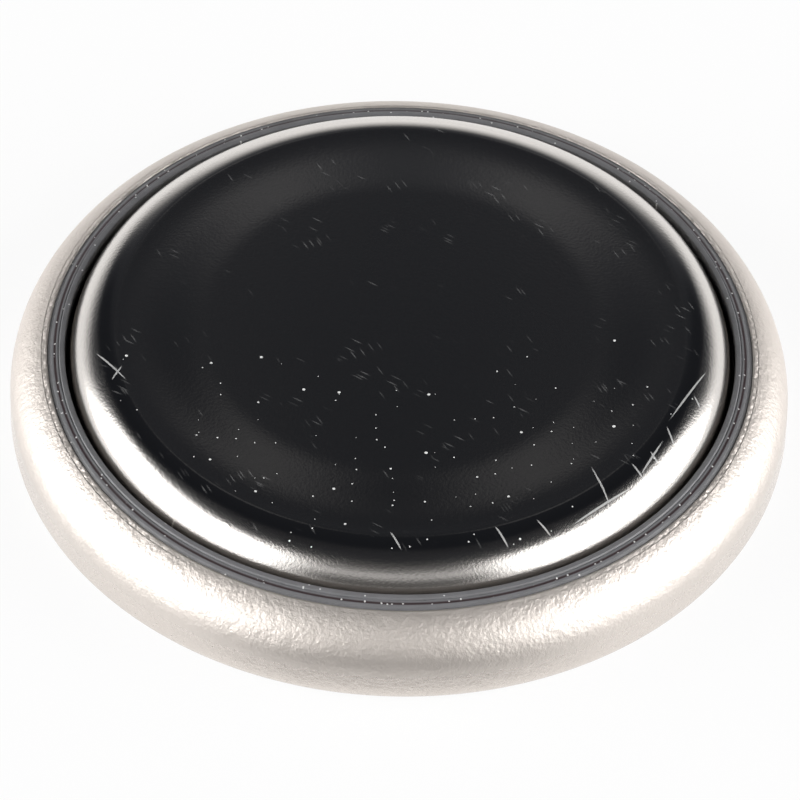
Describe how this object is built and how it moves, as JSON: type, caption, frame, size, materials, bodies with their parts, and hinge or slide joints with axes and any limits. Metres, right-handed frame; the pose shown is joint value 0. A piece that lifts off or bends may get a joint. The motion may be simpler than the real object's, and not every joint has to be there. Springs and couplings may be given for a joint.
{
  "type": "lithium coin cell",
  "caption": "Round flat lithium coin cell: wide crimped steel can below, plastic gasket ring, narrower steel cap above, electrodes sealed inside.",
  "frame": {"origin": "centre of the can's flat bottom, which is the positive face the cell rests on", "axes": "+Z along the cell's axis, from the positive can to the negative cap; X and Y are equal"},
  "size_m": [0.02, 0.02, 0.0032],
  "materials": {
    "can_steel": "nickel-plated, satin, slightly grained on the crimp",
    "cap_steel": "polished, with handling scratches and dust",
    "gasket_plastic": "moulded polypropylene, slightly translucent",
    "lithium": "rolled foil, dull",
    "separator_felt": "non-woven felt",
    "cathode_powder": "pressed powder, matte",
    "ring_steel": "bright rolled strip"
  },
  "bodies": {
    "root": {"positive_can": "can_steel", "negative_cap": "cap_steel", "sealing_gasket": "gasket_plastic", "lithium_disc": "lithium", "separator_disc": "separator_felt", "cathode_pellet": "cathode_powder", "cathode_ring": "ring_steel"}
  },
  "joints": []
}
